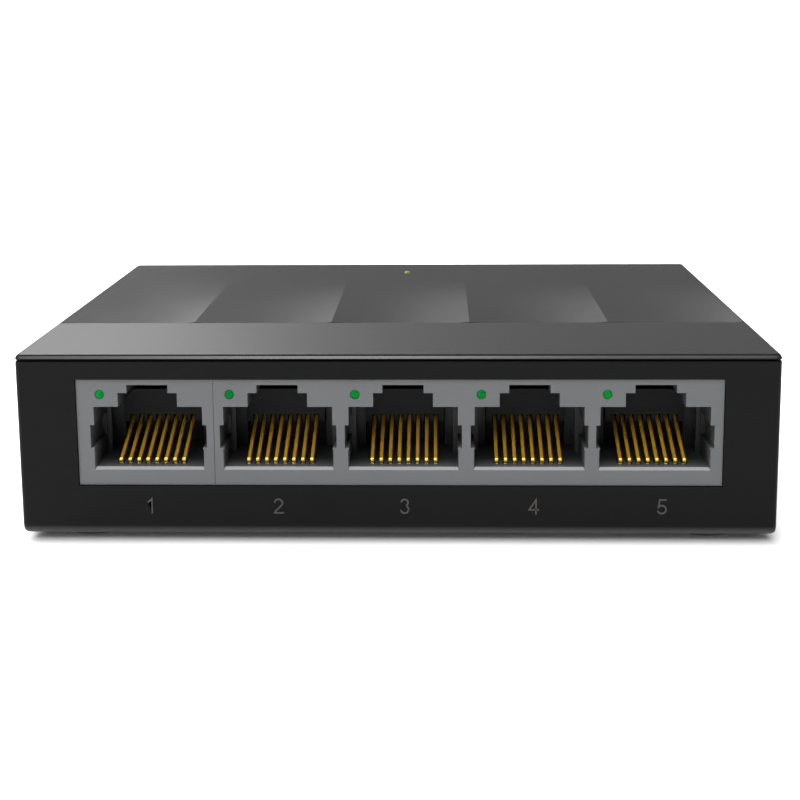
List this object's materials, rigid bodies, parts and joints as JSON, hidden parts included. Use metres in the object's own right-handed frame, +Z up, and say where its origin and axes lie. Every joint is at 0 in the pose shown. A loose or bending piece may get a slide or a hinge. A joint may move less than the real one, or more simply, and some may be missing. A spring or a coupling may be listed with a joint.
{
  "type": "desktop network switch",
  "caption": "Low rectangular network switch: black plastic case with a faceted top, grey modular sockets with sprung gold contacts along one face, side power inlet and rubber feet.",
  "frame": {"origin": "centre of the case's outline, on the plane the feet stand on", "axes": "+X to the right as seen from the port side, -Y out of the port face, +Z up"},
  "size_m": [0.083, 0.0581, 0.0213],
  "materials": {
    "case_plastic": "satin black moulded ABS with a very fine texture",
    "jack_plastic": "mid-grey moulded plastic, smooth matte",
    "carrier_plastic": "near-black moulded plastic",
    "contact_gold": "gold-plated spring wire",
    "tin_plate": "tin-plated metal",
    "board_laminate": "green solder mask on glass-epoxy",
    "chip_epoxy": "moulded epoxy, fine matte",
    "green_light_pipe": "green tinted clear plastic",
    "amber_light_pipe": "yellow-green tinted clear plastic",
    "led_body": "small LED body",
    "crystal_can": "drawn metal can",
    "capacitor_sleeve": "shrunk plastic sleeve over an aluminium can",
    "ferrite": "pressed ferrite",
    "ceramic": "multilayer ceramic",
    "inlet_plastic": "black moulded plastic",
    "screw_steel": "zinc-plated steel",
    "foot_rubber": "soft dark grey rubber",
    "label_film": "blank silver-grey film"
  },
  "bodies": {
    "case": {"top_cover": "case_plastic", "bottom_shell": "case_plastic", "circuit_board": "board_laminate", "rj45_housing_single": "jack_plastic", "rj45_housing_quad": "jack_plastic", "port_light_pipes": "green_light_pipe", "port_leds": "led_body", "power_light_pipe": "amber_light_pipe", "power_led": "led_body", "switch_chip": "chip_epoxy", "switch_chip_leads": "tin_plate", "magnetics_port_1": "chip_epoxy", "magnetics_ports_2_3": "chip_epoxy", "magnetics_ports_4_5": "chip_epoxy", "crystal": "crystal_can", "input_capacitor": "capacitor_sleeve", "output_capacitor": "capacitor_sleeve", "power_inductor": "ferrite", "voltage_regulator": "chip_epoxy", "ceramic_capacitors": "ceramic", "chip_resistors": "chip_epoxy", "dc_jack_housing": "inlet_plastic", "dc_jack_pin": "tin_plate", "dc_jack_terminals": "tin_plate", "case_screws": "screw_steel", "foot_front_left": "foot_rubber", "foot_front_right": "foot_rubber", "foot_rear_left": "foot_rubber", "foot_rear_right": "foot_rubber", "underside_label": "label_film", "port_1_contact_carrier": "carrier_plastic", "port_1_contact_tails": "contact_gold", "port_2_contact_carrier": "carrier_plastic", "port_2_contact_tails": "contact_gold", "port_3_contact_carrier": "carrier_plastic", "port_3_contact_tails": "contact_gold", "port_4_contact_carrier": "carrier_plastic", "port_4_contact_tails": "contact_gold", "port_5_contact_carrier": "carrier_plastic", "port_5_contact_tails": "contact_gold"},
    "port_1_contacts": {"port_1_contacts": "contact_gold"},
    "port_2_contacts": {"port_2_contacts": "contact_gold"},
    "port_3_contacts": {"port_3_contacts": "contact_gold"},
    "port_4_contacts": {"port_4_contacts": "contact_gold"},
    "port_5_contacts": {"port_5_contacts": "contact_gold"},
    "dc_spring": {"dc_jack_spring": "contact_gold"}
  },
  "joints": [
    {"name": "port_1_contact_press", "type": "hinge", "parent": "case", "child": "port_1_contacts", "pos_m": [-0.02713, -0.027, 0.00889], "axis": [-1, 0, 0], "range_deg": [0, 10], "stiffness_Nm_per_rad": 0.2},
    {"name": "port_2_contact_press", "type": "hinge", "parent": "case", "child": "port_2_contacts", "pos_m": [-0.01292, -0.027, 0.00889], "axis": [-1, 0, 0], "range_deg": [0, 10], "stiffness_Nm_per_rad": 0.2},
    {"name": "port_3_contact_press", "type": "hinge", "parent": "case", "child": "port_3_contacts", "pos_m": [0.00075, -0.027, 0.00889], "axis": [-1, 0, 0], "range_deg": [0, 10], "stiffness_Nm_per_rad": 0.2},
    {"name": "port_4_contact_press", "type": "hinge", "parent": "case", "child": "port_4_contacts", "pos_m": [0.01447, -0.027, 0.00889], "axis": [-1, 0, 0], "range_deg": [0, 10], "stiffness_Nm_per_rad": 0.2},
    {"name": "port_5_contact_press", "type": "hinge", "parent": "case", "child": "port_5_contacts", "pos_m": [0.02807, -0.027, 0.00889], "axis": [-1, 0, 0], "range_deg": [0, 10], "stiffness_Nm_per_rad": 0.2},
    {"name": "dc_spring_press", "type": "hinge", "parent": "case", "child": "dc_spring", "pos_m": [-0.03188, 0.002, 0.00725], "axis": [0, -1, 0], "range_deg": [0, 3], "stiffness_Nm_per_rad": 0.2}
  ]
}
